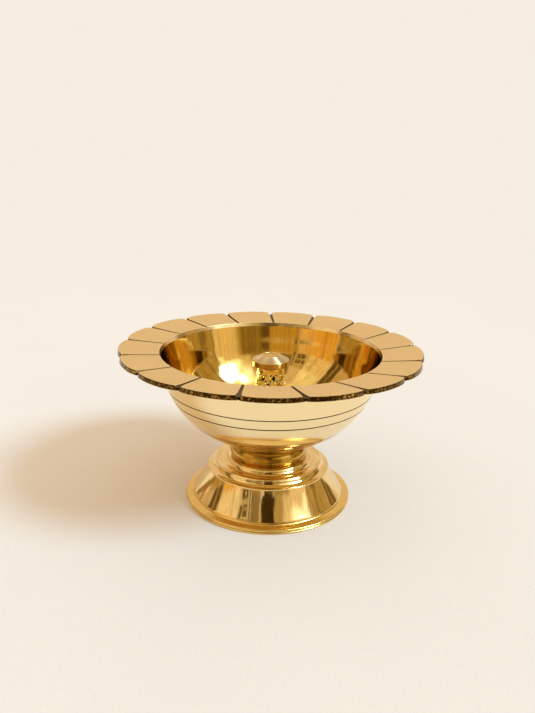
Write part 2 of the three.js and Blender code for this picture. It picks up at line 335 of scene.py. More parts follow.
plainBrass = {
    "colour": (0.94, 0.73, 0.36), "deep": (0.84, 0.58, 0.20), "pitColour": (0.12, 0.06, 0.02),
    "cloud": 0.4, "cloudSize": 60.0, "bands": 0.2, "roughness": 0.1, "smudge": 0.06,
    "scratch": 0.03, "scratchSize": 900.0, "scratchHeight": 0.0, "ringFineness": 1500.0,
    "ringHeight": 0.0, "ripple": 0.0, "pits": 0.0, "pitSpacing": 420.0, "pitDepth": 0.00004,
    "strokes": 0.0, "strokeHeight": 0.0, "strokeShade": 0.0, "anisotropic": 0.0, "grainTurn": 0.25,
    "recessShadeColour": None, "recessRoughness": 0.3, "grazingTint": (1.0, 1.0, 1.0),
}
brassLooks = {
    "polishedBowl": {"colour": (1.0, 0.83, 0.49), "deep": (1.0, 0.77, 0.39), "cloud": 0.4,
                     "roughness": 0.1, "ripple": 0.00003, "ringHeight": 0.000001},
    # The lower outside of the bowl, painted darker: a painted shade for the shaded foot that it reflects.
    "shadedLowerBowl": {"colour": (0.72, 0.50, 0.18), "deep": (0.48, 0.31, 0.09), "cloud": 0.6,
                  "roughness": 0.1, "ripple": 0.00004, "ringHeight": 0.000003, "bands": 0.5},
    # The inside wall: the same polished brass painted darker and warmer, with a dark grazing tint, a painted
    # shade for the reflections between its walls.
    "shadedBowlInside": {"colour": (0.90, 0.64, 0.22), "deep": (0.76, 0.49, 0.12), "cloud": 0.7,
                   "roughness": 0.045, "ripple": 0.00005, "ringHeight": 0.000001, "bands": 0.3,
                   "grazingTint": (0.28, 0.26, 0.12)},
    "satinPetal": {"colour": (0.93, 0.715, 0.36), "deep": (0.87, 0.65, 0.30), "roughness": 0.42,
                   "ripple": 0.00002, "scratchHeight": 0.000006, "pits": 0.8, "pitSpacing": 300.0},
    "brightEdge": {"colour": (0.98, 0.82, 0.50), "deep": (0.90, 0.66, 0.28), "roughness": 0.16},
    # Filed petal sides: real file strokes, over a near-black deep tone that is painted shade for the dark
    # that the edges reflect.
    "filedShadedEdge": {"colour": (0.80, 0.50, 0.13), "deep": (0.055, 0.025, 0.003), "cloud": 0.6,
                  "roughness": 0.16, "smudge": 0.15, "strokes": 60.0, "strokeHeight": 0.00012,
                  "strokeShade": 0.95},
    "grooveFloor": {"colour": (0.24, 0.15, 0.065), "deep": (0.13, 0.08, 0.03), "cloud": 0.8,
                    "roughness": 0.5, "scratchHeight": 0.00003, "pits": 0.6},
    "tarnishedLine": {"colour": (0.14, 0.09, 0.03), "deep": (0.07, 0.045, 0.015), "roughness": 0.5},
    "underPetal": {"colour": (0.88, 0.63, 0.25), "deep": (0.60, 0.38, 0.11), "cloud": 0.8,
                   "roughness": 0.26, "smudge": 0.12, "ringHeight": 0.000005, "ringFineness": 900.0,
                   "pits": 0.5},
    "polishedFoot": {"colour": (0.95, 0.76, 0.39), "deep": (0.87, 0.60, 0.22), "cloud": 0.6,
                     "roughness": 0.045, "ripple": 0.00006, "ringHeight": 0.000001},
    "satinLip": {"colour": (0.93, 0.68, 0.25), "deep": (0.76, 0.49, 0.11), "cloud": 0.6,
                 "roughness": 0.18, "ringHeight": 0.000004, "bands": 0.4},
    "castHollow": {"colour": (0.50, 0.35, 0.15), "deep": (0.28, 0.18, 0.07), "cloud": 0.9,
                   "cloudSize": 90.0, "roughness": 0.5, "smudge": 0.15, "ripple": 0.0003, "pits": 0.9,
                   "pitDepth": 0.0002},
    # The neck collar painted dark olive brown: a painted shade for the shade under the bowl that it reflects.
    "polishedNeck": {"colour": (0.64, 0.41, 0.09), "deep": (0.36, 0.20, 0.03), "cloud": 0.7,
                     "roughness": 0.14, "ripple": 0.00002, "ringHeight": 0.000002, "bands": 0.4},
    "turnedCap": {"colour": (0.98, 0.83, 0.54), "deep": (0.64, 0.45, 0.20), "roughness": 0.36,
                  "anisotropic": 1.0, "ringHeight": 0.000003, "ringFineness": 2600.0, "bands": 0.4},
    # The cap's rim painted darker brown: a painted shade for its dark reflections. Its fine ring bands are
    # real turning marks.
    "capRim": {"colour": (0.84, 0.55, 0.15), "deep": (0.26, 0.14, 0.02), "cloud": 0.7, "roughness": 0.12,
               "ringHeight": 0.000008, "ringFineness": 3600.0, "bands": 0.9},
    "polishedDisc": {"colour": (0.78, 0.50, 0.09), "deep": (0.50, 0.28, 0.04), "roughness": 0.1,
                     "ringHeight": 0.000003, "ringFineness": 2600.0},
    # The cage finishes paint dark shade into the recesses of the mesh.
    "cageBrass": {"colour": (1.0, 0.90, 0.40), "deep": (0.78, 0.56, 0.12), "cloud": 0.7,
                  "cloudSize": 520.0, "roughness": 0.16, "smudge": 0.14, "ripple": 0.00035,
                  "recessShadeColour": (0.13, 0.07, 0.01)},
    "cageLip": {"colour": (1.0, 0.80, 0.30), "deep": (0.78, 0.54, 0.12), "roughness": 0.08,
                "ripple": 0.00003, "recessShadeColour": (0.13, 0.07, 0.01)},
    "drawnBrass": {"colour": (0.82, 0.58, 0.25), "deep": (0.58, 0.38, 0.13), "cloud": 0.6,
                   "roughness": 0.26, "smudge": 0.1, "ringHeight": 0.000006, "bands": 0.5},
    "platedSteel": {"colour": (0.56, 0.57, 0.58), "deep": (0.38, 0.38, 0.37), "cloud": 0.6,
                    "roughness": 0.3, "smudge": 0.12, "ringHeight": 0.000004, "pits": 0.4},
}


def newMaterial(name):
    material = bpy.data.materials.new(name)
    material.use_nodes = True
    tree = material.node_tree
    return material, tree, tree.nodes["Principled BSDF"], add(tree, "TexCoord").outputs["Object"]


def metalFinish(name, changes):
    look = {**plainBrass, **changes}
    material, tree, shader, place = newMaterial(name)
    deep = (*look["deep"], 1)
    polish = useGroup(tree, polishGroup, {"Place": place, "Cloud Size": look["cloudSize"],
                                          "Scratch Size": look["scratchSize"]})
    lathe = useGroup(tree, latheGroup, {"Place": place, "Fineness": look["ringFineness"]})
    pits = useGroup(tree, pitGroup, {"Place": place, "Spacing": look["pitSpacing"]})["Pits"]
    pits = maths(tree, "MULTIPLY", pits, look["pits"])

    cloud = fromTo(tree, polish["Cloud"], *effects["cloudRange"], 0.0, look["cloud"])
    tint = mixColour(tree, cloud, (*look["colour"], 1), deep)
    band = fromTo(tree, lathe["Band"], *effects["bandRange"], 0.0, look["bands"])
    tint = mixColour(tree, band, tint, deep)
    tint = mixColour(tree, pits, tint, (*look["pitColour"], 1))

    rough = look["roughness"]
    roughness = fromTo(tree, polish["Smudge"], *effects["smudgeRange"], rough, rough + look["smudge"])
    roughness = maths(tree, "MULTIPLY_ADD", polish["Scratch"], look["scratch"], roughness)

    height = maths(tree, "MULTIPLY", lathe["Rings"], look["ringHeight"])
    height = maths(tree, "MULTIPLY_ADD", polish["Ripple"], look["ripple"], height)
    height = maths(tree, "MULTIPLY_ADD", polish["Scratch"], look["scratchHeight"], height)
    height = maths(tree, "MULTIPLY_ADD", pits, -look["pitDepth"], height)
    if look["strokes"]:
        filed = useGroup(tree, fileGroup, {"Place": place, "Strokes": look["strokes"]})
        height = maths(tree, "MULTIPLY_ADD", filed["Marks"], look["strokeHeight"], height)
        height = maths(tree, "MULTIPLY_ADD", filed["Steps"], look["strokeHeight"] * 2, height)
        shade = fromTo(tree, filed["Marks"], *effects["strokeRange"], 0.0, look["strokeShade"])
        tint = mixColour(tree, shade, tint, deep)
    # Painted shade: darker and rougher where the mesh's recess attribute is set, in the engraved cuts and
    # inside the cage.
    if look["recessShadeColour"]:
        recess = add(tree, "Attribute", attribute_name="recess").outputs["Fac"]
        tint = mixColour(tree, recess, tint, (*look["recessShadeColour"], 1))
        roughness = maths(tree, "MULTIPLY_ADD", recess, look["recessRoughness"], roughness)

    bump = add(tree, "Bump", {"Height": height, "Distance": 1.0})
    connect(tree, shader, {"Base Color": tint, "Roughness": roughness, "Normal": bump.outputs[0],
                           "Metallic": 1.0, "Specular Tint": (*look["grazingTint"], 1)})
    if look["anisotropic"]:
        tangent = add(tree, "Tangent", direction_type="RADIAL", axis="Z").outputs[0]
        connect(tree, shader, {"Anisotropic": look["anisotropic"], "Anisotropic Rotation": look["grainTurn"],
                               "Tangent": tangent})
    return material


fibreLook = {
    "dark": (0.30, 0.065, 0.035), "light": (0.42, 0.12, 0.07), "oiled": (0.10, 0.03, 0.02),
    "weave": 1400.0, "layers": 6.0, "weaveHeight": 0.00004, "oilSize": 180.0, "oilRange": (0.45, 0.65),
    "oilShare": 0.6, "wetRange": (0.4, 0.7), "dryRoughness": 0.75, "oiledRoughness": 0.45,
}


def fibreFinish():
    look = fibreLook
    material, tree, shader, place = newMaterial("redFibre")
    layered = add(tree, "Mapping", {"Vector": place, "Scale": (1.0, 1.0, look["layers"])}).outputs[0]
    weave = noiseAt(tree, layered, look["weave"], 4.0)
    oil = noiseAt(tree, place, look["oilSize"], 3.0)
    soaked = fromTo(tree, oil, *look["oilRange"], 0.0, look["oilShare"])
    base = mixColour(tree, weave, (*look["dark"], 1), (*look["light"], 1))
    base = mixColour(tree, soaked, base, (*look["oiled"], 1))
    roughness = fromTo(tree, oil, *look["wetRange"], look["dryRoughness"], look["oiledRoughness"])
    bump = add(tree, "Bump", {"Height": weave, "Distance": look["weaveHeight"]})
    connect(tree, shader, {"Base Color": base, "Roughness": roughness, "Normal": bump.outputs[0]})
    return material


finishes = {name: metalFinish(name, look) for name, look in brassLooks.items()}
finishes["redFibre"] = fibreFinish()
print("materials ready")


# Bowl with its rim of petals

bowl = {
    "wall": 1.8, "studHole": 3.4, "holeChamfer": 0.2, "floorCorner": 1.6, "profileSteps": 11,
    "mouthRadius": 51.2, "mouthHeight": 73.5, "mouthRounding": 0.16,
    "outside": [(16.2, levels["bowlSeat"]), (23.7, 31.7), (37.3, 40.8), (46.15, 52.5), (50.0, 63.5),
                (52.2, 71.5)],
    "shadedLowerTop": 42.5, "lineHeights": (52.43, 57.26), "lineHalf": 0.26, "lineDepth": 0.3,
    "lineClearance": 2.2, "underFillet": [(52.1, 70.95), (52.5, 71.42)],
    "spreadFrom": 68, "innerSpreadFrom": 60, "innerSpreadRise": 12,
}
petals = {
    "count": 17, "tip": 69.95, "notch": 66.8, "firstNotch": math.radians(111.9), "squareness": 2.5,
    "cup": math.radians(5.8), "thickness": 2.1, "skew": math.radians(6.5), "columns": 28,
    "grooveDepth": 0.95, "grooveInner": 0.58, "grooveOuter": 0.8, "grooveFlare": 0.5, "flareFrom": 0.65,
    "grooveRunIn": 0.045, "grooveStartDepth": 0.82, "edge": 0.2, "shoulder": 0.4, "wobble": 0.2,
    "waviness": 9, "tilt": 0.12, "rake": 0.32, "topRounding": 0.12, "underRounding": 0.14, "gap": 0.3,
}
petals["pitch"] = fullTurn / petals["count"]
petals["root"] = bowl["mouthRadius"] + petals["gap"]
grooveSteps = (0.0, 0.45, 0.82, 1.0)       # columns across half a groove, as shares of its width
grooveSection = (1.0, 0.96, 0.72, 0.16)    # and how deep the groove is at each


def rimHeight(radius):
    return bowl["mouthHeight"] + (radius - bowl["mouthRadius"]) * math.tan(petals["cup"])


# Radius of the petal edge in a direction: a rounded lobe between two notches, filed by hand.
def petalReach(angle):
    share = ((angle - petals["firstNotch"]) / petals["pitch"]) % 1.0
    rise = (1 - abs(2 * share - 1) ** petals["squareness"]) ** (1 / petals["squareness"])
    place = Vector((math.cos(angle) * petals["waviness"], math.sin(angle) * petals["waviness"], 3.0))
    filed = 0.5 + 0.5 * noise.noise(place)
    return petals["notch"] + (petals["tip"] - petals["notch"]) * rise - petals["wobble"] * filed


# How far a saw cut has turned off the radial line of its notch, at a radius.
def grooveTurn(radius):
    inward = radius - petals["notch"]
    along = petals["notch"] + inward * math.cos(petals["skew"])
    return math.atan2(inward * math.sin(petals["skew"]), along)


def grooveHalf(reach):
    straight = petals["grooveInner"] + (petals["grooveOuter"] - petals["grooveInner"]) * reach
    flared = smoothStep((reach - petals["flareFrom"]) / (1 - petals["flareFrom"]))
    return straight + petals["grooveFlare"] * flared ** 1.5


def grooveDrop(column, reach):
    step = abs(column)
    if step >= len(grooveSection):
        return 0.0
    startDepth = petals["grooveStartDepth"]
    depth = petals["grooveDepth"] * (startDepth + (1 - startDepth) * reach)
    return depth * smoothStep(reach / petals["grooveRunIn"]) * grooveSection[step]


# Columns crowd at both sides of a cut and spread out towards the middle of the petal.
def columnOffset(column, reach, radius):
    half = grooveHalf(reach)
    edge = half + petals["edge"]
    crowded = [half * share for share in grooveSteps] + [edge, edge + petals["shoulder"]]
    step = abs(column)
    if step < len(crowded):
        offset = crowded[step]
    else:
        share = (step - len(crowded) + 1) / (petals["columns"] // 2 - len(crowded) + 1)
        offset = crowded[-1] + (radius * petals["pitch"] / 2 - crowded[-1]) * share
    return math.copysign(offset, column)


# Radius at which a column of the petal runs out, found by stepping closer a few times.
@functools.cache
def petalEdge(sector, column):
    notchAngle = petals["firstNotch"] + sector * petals["pitch"]
    edge = petals["notch"]
    for _ in range(4):
        edge = petalReach(notchAngle + grooveTurn(edge) + columnOffset(column, 1.0, edge) / edge)
    return edge


# The place on a petal that is this share of the way from the root to the edge.
def petalPlace(sector, column, reach):
    notchAngle = petals["firstNotch"] + sector * petals["pitch"]
    radius = petals["root"] + (petalEdge(sector, column) - petals["root"]) * reach
    return radius, notchAngle + grooveTurn(radius) + columnOffset(column, reach, radius) / radius


# Each petal sits a little lower or higher than the next.
def petalTilt(sector, column):
    petal = (sector if column >= 0 else sector - 1) % petals["count"]
    place = Vector((petal * 3.1, 1.7, 0.4))      # far enough apart for each petal to differ
    return -petals["tilt"] * (0.5 + 0.5 * noise.noise(place))


# The outside of the wall with its two turned lines, as (place, finish) pairs.
def bowlOutside():
    line = through(bowl["outside"], bowl["profileSteps"])[1:-1]
    half = bowl["lineHalf"]
    lips = [(-1.6, 0.0, "polishedBowl"), (-1.0, 0.03, "tarnishedLine"), (-0.55, 1.0, "tarnishedLine"),
            (0.55, 1.0, "tarnishedLine"), (1.0, 0.03, "polishedBowl"), (1.6, 0.0, "polishedBowl")]
    points = [(point, "polishedBowl") for point in line]
    for height in bowl["lineHeights"]:
        upper = next(i for i, point in enumerate(line) if point[1] > height)
        low, high = Vector(line[upper - 1]), Vector(line[upper])
        along = (high - low).normalized()
        inwards = Vector((-along.y, along.x))
        middle = low + along * ((height - low.y) / along.y)
        points = [entry for entry in points if abs(entry[0][1] - height) > half * bowl["lineClearance"]]
        for share, drop, finish in lips:
            place = middle + along * half * share + inwards * bowl["lineDepth"] * drop
            points.append((tuple(place), finish))
    return sorted(points, key=lambda entry: entry[0][1])


# Rows of the bowl's closed section, each with the finish of the strip that starts there. The spread of a
# row is 0 where its points are evenly spaced and 1 where they crowd at the cuts, as in the petals.
def bowlRows():
    rows = []

    def wall(points, finish, spread=0.0):
        rows.extend({"part": "wall", "at": point, "finish": finish, "spread": spread} for point in points)

    def petal(part, shares, finish, inset=0.0):
        rows.extend({"part": part, "reach": share, "finish": finish, "inset": inset} for share in shares)

    seat, floor = levels["bowlSeat"], levels["bowlFloor"]
    hole, chamfer = bowl["studHole"], bowl["holeChamfer"]
    outside = through(bowl["outside"], bowl["profileSteps"])
    inside = [point for point in reversed(beside(outside, bowl["wall"])) if point[1] > floor + 0.4]
    under = [(hole, seat + chamfer), (hole + chamfer, seat), (9.0, seat), (14.0, seat), (15.9, seat)]
    wall(under, "underPetal")
    for point, finish in bowlOutside():
        # Below this height the outside wall takes the darker finish, a painted shade.
        low = finish == "polishedBowl" and point[1] < bowl["shadedLowerTop"]
        wall([point], "shadedLowerBowl" if low else finish, 0.6 if point[1] > bowl["spreadFrom"] else 0.0)
    wall(bowl["underFillet"], "underPetal", 1.0)
    petal("under", (0.1, 0.2, 0.35, 0.5, 0.7, 0.85, 0.95), "underPetal")
    petal("under", (1.0,), "brightEdge", petals["underRounding"])
    # The petal sides take the filed finish with its painted shade.
    petal("side", (0.08, 0.25, 0.4, 0.55, 0.7, 0.82, 0.93), "filedShadedEdge")
    petal("top", (1.0,), "satinPetal", petals["rake"] + petals["topRounding"])
    petal("top", (0.97, 0.94, 0.91, 0.87, 0.82, 0.76, 0.66, 0.54, 0.42, 0.3, 0.2), "satinPetal")
    petal("top", (0.12, 0.08, 0.055, 0.035, 0.018), "satinPetal")
    rounding = bowl["mouthRounding"]
    mouthCentre = (bowl["mouthRadius"] + rounding, bowl["mouthHeight"] - rounding)
    wall(arc(mouthCentre, rounding, 95, 178, 4), "brightEdge", 1.0)
    # The inside wall takes the darker, warmer finish with painted shade.
    for point in inside:
        spread = smoothStep((point[1] - bowl["innerSpreadFrom"]) / bowl["innerSpreadRise"])
        wall([point], "shadedBowlInside", spread)
    lowest = inside[-1]
    corner = pulled(lowest, (lowest[0] - 0.6, floor + 0.05), (lowest[0] - bowl["floorCorner"], floor), 3)
    middle = [(12.0, floor), (8.0, floor), (hole + chamfer, floor), (hole, floor - chamfer)]
    wall(corner[1:] + middle, "shadedBowlInside")
    return rows


# Where a row would be on a plain round plate, to spin it before the petals are shaped.
def plainPlace(row):
    if row["part"] == "wall":
        return row["at"]
    tip = petals["tip"]
    if row["part"] == "side":
        return tip, rimHeight(tip) - petals["thickness"] * (1 - row["reach"])
    radius = petals["root"] + (tip - petals["root"]) * row["reach"] - row["inset"]
    return radius, rimHeight(radius) - (petals["thickness"] if row["part"] == "under" else 0.0)


def shapedPlace(row, sector, column):
    if row["part"] == "wall":
        radius, height = row["at"]
        even = column * petals["pitch"] / petals["columns"]
        crowded = grooveTurn(bowl["mouthRadius"]) + columnOffset(column, 0.0, radius) / radius
        notchAngle = petals["firstNotch"] + sector * petals["pitch"]
        return radius, notchAngle + even + (crowded - even) * row["spread"], height
    tilt = petalTilt(sector, column)
    if row["part"] == "side":
        radius, angle = petalPlace(sector, column, 1.0)
        bottom = rimHeight(radius) - petals["thickness"]
        top = rimHeight(radius) - grooveDrop(column, 1.0)
        return radius - petals["rake"] * row["reach"], angle, bottom + (top - bottom) * row["reach"] + tilt
    radius, angle = petalPlace(sector, column, row["reach"])
    radius -= row["inset"]
    tilt *= row["reach"] ** 2
    if row["part"] == "under":
        return radius, angle, rimHeight(radius) - petals["thickness"] + tilt
    return radius, angle, rimHeight(radius) - grooveDrop(column, row["reach"]) + tilt


def makePetalBowl():
    rows = bowlRows()
    columns = petals["columns"]
    total = petals["count"] * columns
    bm = spinProfile([plainPlace(row) for row in rows], total)
    rowLayer = bm.verts.layers.int["row"]
    columnLayer = bm.verts.layers.int.new("column")
    for vert in bm.verts:
        _, angle, _ = whereIs(vert)
        count = round(angle / fullTurn * total) % total
        sector = (count + columns // 2) // columns
        column = count - sector * columns
        vert[columnLayer] = abs(column)
        vert.co = placeAt(*shapedPlace(rows[vert[rowLayer]], sector, column))
    names = ["polishedBowl", "shadedLowerBowl", "shadedBowlInside", "satinPetal", "brightEdge", "filedShadedEdge",
             "grooveFloor", "tarnishedLine", "underPetal"]
    for face in bm.faces:
        row = rows[startRow(face, rowLayer, len(rows))]
        finish = row["finish"]
        column = max(vert[columnLayer] for vert in face.verts)
        if row["part"] == "top" and column < len(grooveSection):
            finish = "grooveFloor"
        elif row["part"] == "top" and column == len(grooveSection):
            finish = "brightEdge"
        face.material_index = names.index(finish)
    bmesh.ops.recalc_face_normals(bm, faces=bm.faces)
    makePiece(bm, "petalBowl", names, "bowl", "petal_bowl", sharpDegrees=30)


makePetalBowl()


# Pedestal: foot, neck collar and the hardware that clamps the bowl

foot = {
    "hollow": [(13.0, levels["crownUnder"]), (17.6, 18.6), (20.4, 16.9), (23.6, 16.9), (24.9, 16.0),
               (27.0, 14.0), (30.2, 9.0), (34.6, 2.0), (35.2, 0.3)],
    "bore": 3.4, "chamfer": 0.2, "steps": 192,
}


def footSection():
    lower = arc((39.35, 0.5), 0.5, -90, 60, 7)
    line = [(39.5, 1.0), (39.32, 1.06), (39.5, 1.14)]
    upper = arc((39.25, 1.72), 0.62, -62, 75, 8)
    lipTop = pulled((39.3, 2.35), (38.4, 2.62), (37.3, 2.72), 6)
    lipTop += pulled((37.1, 2.74), (36.5, 2.9), (36.35, 3.5), 5)
    cone = pulled((36.2, 3.9), (32.0, 9.6), (29.25, 15.7), 22)
    lowRidge = arc((28.85, 16.05), 0.3, -20, 92, 6)
    lowCove = pulled((28.6, 16.36), (26.55, 16.5), (25.85, 18.55), 12)
    highRidge = arc((25.25, 18.9), 0.36, -10, 90, 6)
    highCove = pulled((25.0, 19.2), (20.65, 17.65), (19.78, 20.45), 16)
    highCove += arc((19.28, 20.7), 0.5, -10, 90, 6)
    crown = [(12.0, levels["crownTop"])]
    crown += boreWall(foot["bore"], levels["crownUnder"], levels["crownTop"], foot["chamfer"])
    hollow = through(foot["hollow"], 6)
    return [
        ("satinLip", lower), ("tarnishedLine", line), ("satinLip", upper), ("satinLip", lipTop),
        ("polishedFoot", cone), ("polishedFoot", lowRidge), ("polishedFoot", lowCove),
        ("polishedFoot", highRidge), ("polishedFoot", highCove), ("castHollow", crown),
        ("castHollow", hollow), ("castHollow", [(35.5, 0.0)]),
    ]


# Spins a section given as (finish, points) parts, and gives each strip the finish of its part.
def makeTurnedPiece(name, parts, steps, body, node, shape=None, sharpDegrees=38):
    profile = [point for _, points in parts for point in points]
    owners = [finish for finish, points in parts for _ in points]
    names = sorted(set(owners), key=owners.index)
    bm = spinProfile(profile, steps)
    rowLayer = bm.verts.layers.int["row"]
    for face in bm.faces:
        face.material_index = names.index(owners[startRow(face, rowLayer, len(profile))])
    if shape:
        for vert in bm.verts:
            vert.co = placeAt(*shape(*whereIs(vert)))
    makePiece(bm, name, names, body, node, sharpDegrees)


makeTurnedPiece("pedestalFoot", footSection(), foot["steps"], "pedestal", "pedestal_foot")

collar = {"radius": 18.7, "bore": 6.5, "chamfer": 0.3, "steps": 144}


def collarSection():
    widest, low, high = collar["radius"], levels["crownTop"], levels["bowlSeat"]
    side = [(widest - 0.8, low)]
    side += pulled((widest - 0.7, low + 0.1), (widest - 0.35, low + 1.1), (widest + 0.02, low + 2.4), 8)
    side += arc((widest - 0.1, low + 2.6), 0.2, -15, 45, 4)
    side += pulled((widest - 0.05, low + 2.95), (widest - 0.5, high - 1.3), (widest - 2.0, high - 0.1), 12)
    side += [(widest - 2.4, high)]
    # The collar's side takes the dark finish with painted shade.
    return [("polishedNeck", side), ("drawnBrass", boreWall(collar["bore"], low, high, collar["chamfer"]))]


makeTurnedPiece("neckCollar", collarSection(), collar["steps"], "pedestal", "neck_collar")

stud = {"radius": 3.0, "bottom": 9.5, "top": 37.7, "pitch": 1.0, "threadDepth": 0.5, "chamfer": 0.6,
        "centreMark": 1.2, "rowsPerPitch": 8, "steps": 48}


def studSection():
    count = round((stud["top"] - stud["bottom"]) / stud["pitch"] * stud["rowsPerPitch"])
    heights = [stud["bottom"] + (stud["top"] - stud["bottom"]) * i / count for i in range(count + 1)]
    side = [(stud["radius"], height) for height in heights]
    lower = [(0.0, stud["bottom"]), (stud["centreMark"], stud["bottom"])]
    upper = [(stud["centreMark"], stud["top"]), (0.0, stud["top"])]
    return [("drawnBrass", lower + side + upper)]


def studThread(radius, angle, height):
    if radius < stud["radius"] - 0.1:
        return radius, angle, height
    phase = (height / stud["pitch"] - angle / fullTurn) % 1.0
    crest = smoothStep(1.25 - abs(2 * phase - 1) * 1.5)
    threaded = stud["radius"] - stud["threadDepth"] * (1 - crest)
    fromEnd = min(height - stud["bottom"], stud["top"] - height)
    return min(threaded, stud["radius"] - stud["chamfer"] + fromEnd), angle, height


makeTurnedPiece("centreStud", studSection(), stud["steps"], "pedestal", "centre_stud",
                shape=studThread, sharpDegrees=60)

nut = {"acrossFlats": 10.0, "bottom": 11.5, "bore": 3.2, "boreChamfer": 0.4, "chamfer": 0.7, "steps": 72}


def nutSection():
    corner = nut["acrossFlats"] / 2 / math.cos(math.pi / 6)
    slope = math.tan(math.radians(30))
    low, high, deepest = nut["bottom"], levels["nutTop"], nut["chamfer"]
    shares = [step / 6 for step in range(7)]
    lower = [(corner - deepest * (1 - share), low + deepest * share * slope) for share in shares]
    upper = [(radius, low + high - height) for radius, height in reversed(lower)]
    return [("platedSteel", lower + upper + boreWall(nut["bore"], low, high, nut["boreChamfer"]))]


def hexagonal(radius, angle, height):
    fromFlat = (angle + math.pi / 6) % (math.pi / 3) - math.pi / 6
    return min(radius, nut["acrossFlats"] / 2 / math.cos(fromFlat)), angle, height


makeTurnedPiece("footNut", nutSection(), nut["steps"], "pedestal", "foot_nut",
                shape=hexagonal, sharpDegrees=25)

washers = {
    "footWasher": {"inner": 3.4, "outer": 9.0, "between": ("springTop", "crownUnder"), "rounding": 0.2,
                   "steps": 96},
    "springWasher": {"inner": 3.3, "outer": 5.3, "between": ("nutTop", "springTop"), "rounding": 0.15,
                     "steps": 72, "gap": 0.8, "slant": math.radians(25)},
    "sealingWasher": {"inner": 3.6, "outer": 10.5, "between": ("bowlFloor", "holderSeat"), "rounding": 0.3,
                      "steps": 96},
}


def washerSection(washer):
    bottom, top = (levels[level] for level in washer["between"])
    return ringSection(washer["inner"], washer["outer"], bottom, top, washer["rounding"])


def makePlainWasher(name, finish, body, node):
    washer = washers[name]
    makeTurnedPiece(name, [(finish, washerSection(washer))], washer["steps"], body, node)


makePlainWasher("footWasher", "platedSteel", "pedestal", "foot_washer")


# A ring of square wire, cut through at a slant.
def makeSpringWasher():
    washer = washers["springWasher"]
    middleRadius = (washer["inner"] + washer["outer"]) / 2
    middleHeight = (levels["nutTop"] + levels["springTop"]) / 2
    gapAngle = washer["gap"] / middleRadius
    bm = spinProfile(washerSection(washer), washer["steps"], fullTurn - gapAngle)
    openEdges = [edge for edge in bm.edges if len(edge.link_faces) == 1]
    bmesh.ops.holes_fill(bm, edges=openEdges, sides=0)
    for vert in bm.verts:
        radius, angle, height = whereIs(vert)
        lean = (height - middleHeight) * math.tan(washer["slant"]) / radius
        vert.co = placeAt(radius, angle + gapAngle / 2 + lean, height)
    bmesh.ops.recalc_face_normals(bm, faces=bm.faces)
    makePiece(bm, "springWasher", ["platedSteel"], "pedestal", "spring_washer",
              sharpDegrees=50)


makeSpringWasher()
makePlainWasher("sealingWasher", "redFibre", "bowl", "sealing_washer")


# Wick holder: turned base and pierced cage

base = {"flange": 12.4, "rounding": 0.5, "spigot": 9.9, "spigotTop": 35.1, "boss": 5.4, "bossTop": 40.1,
        "bore": 3.2, "boreTop": 38.5, "boreChamfer": 0.3, "steps": 144}


def baseSection():
    low, high, rounding = levels["holderSeat"], levels["cageSeat"], base["rounding"]
    flange, spigotRadius, spigotTop = base["flange"], base["spigot"], base["spigotTop"]
    bossRadius, boreRadius, boreTop = base["boss"], base["bore"], base["boreTop"]
    edge = arc((flange - rounding, low + rounding), rounding, -90, 20, 6)
    edge += [(flange - 0.12, (low + high) / 2)]
    edge += arc((flange - rounding, high - rounding), rounding, -10, 90, 6)
    spigot = [(spigotRadius + 0.1, high), (spigotRadius, high + 0.1)]
    spigot += arc((spigotRadius - 0.7, spigotTop - 0.4), 0.4, 5, 90, 4)
    hollow = pulled((bossRadius + 1.5, spigotTop), (bossRadius + 0.15, spigotTop + 0.1),
                    (bossRadius - 0.1, spigotTop + 1.2), 5)
    boss = arc((bossRadius - 1.6, base["bossTop"] - 0.6), 0.6, 5, 90, 5) + [(0.0, base["bossTop"])]
    bore = [(0.0, boreTop), (boreRadius - 0.8, boreTop), (boreRadius, boreTop - 0.5),
            (boreRadius, low + base["boreChamfer"]), (boreRadius + base["boreChamfer"], low)]
    return [("polishedDisc", edge), ("drawnBrass", spigot + hollow + boss + bore)]


makeTurnedPiece("wickHolderBase", baseSection(), base["steps"], "wick_holder", "wick_holder_base")

cage = {
    "outside": [(11.3, levels["cageSeat"]), (9.1, 44.7), (7.35, 55.6), (6.35, 63.5)], "wall": 1.0,
    "mouth": 3.5, "columns": 8, "firstColumn": math.radians(14), "diamondRows": (0.24, 0.58, 0.92),
    "holeRows": (0.45, 0.83), "diamondHalf": (0.8, 1.5), "holeRadius": 0.5, "flare": 0.35,
    "lipFrom": 63.2, "leafDepth": 0.34, "leafHalf": 0.34, "leafReach": 2.6, "leafSlope": 1.6,
    "plainRows": 3, "steps": 256, "rowsPerSpan": 54,
}


# The cage wall at a share of its height: radius, height and how far the wall leans in.
def cageWallAt(share):
    line = through(cage["outside"], 16)
    lowest, highest = line[0][1], line[-1][1]
    height = lowest + (highest - lowest) * share
    upper = next((i for i, point in enumerate(line) if point[1] >= height and i > 0), len(line) - 1)
    (wide, low), (narrow, high) = line[upper - 1], line[upper]
    radius = wide + (narrow - wide) * (height - low) / (high - low)
    return radius, height, math.atan2(wide - narrow, high - low)


# Places of the piercings: (kind, angle, share of the height).
def piercings():
    places = []
    for column in range(cage["columns"]):
        angle = cage["firstColumn"] + column * fullTurn / cage["columns"]
        places += [("diamond", angle, share) for share in cage["diamondRows"]]
        places += [("hole", angle + math.pi / cage["columns"], share) for share in cage["holeRows"]]
    return places


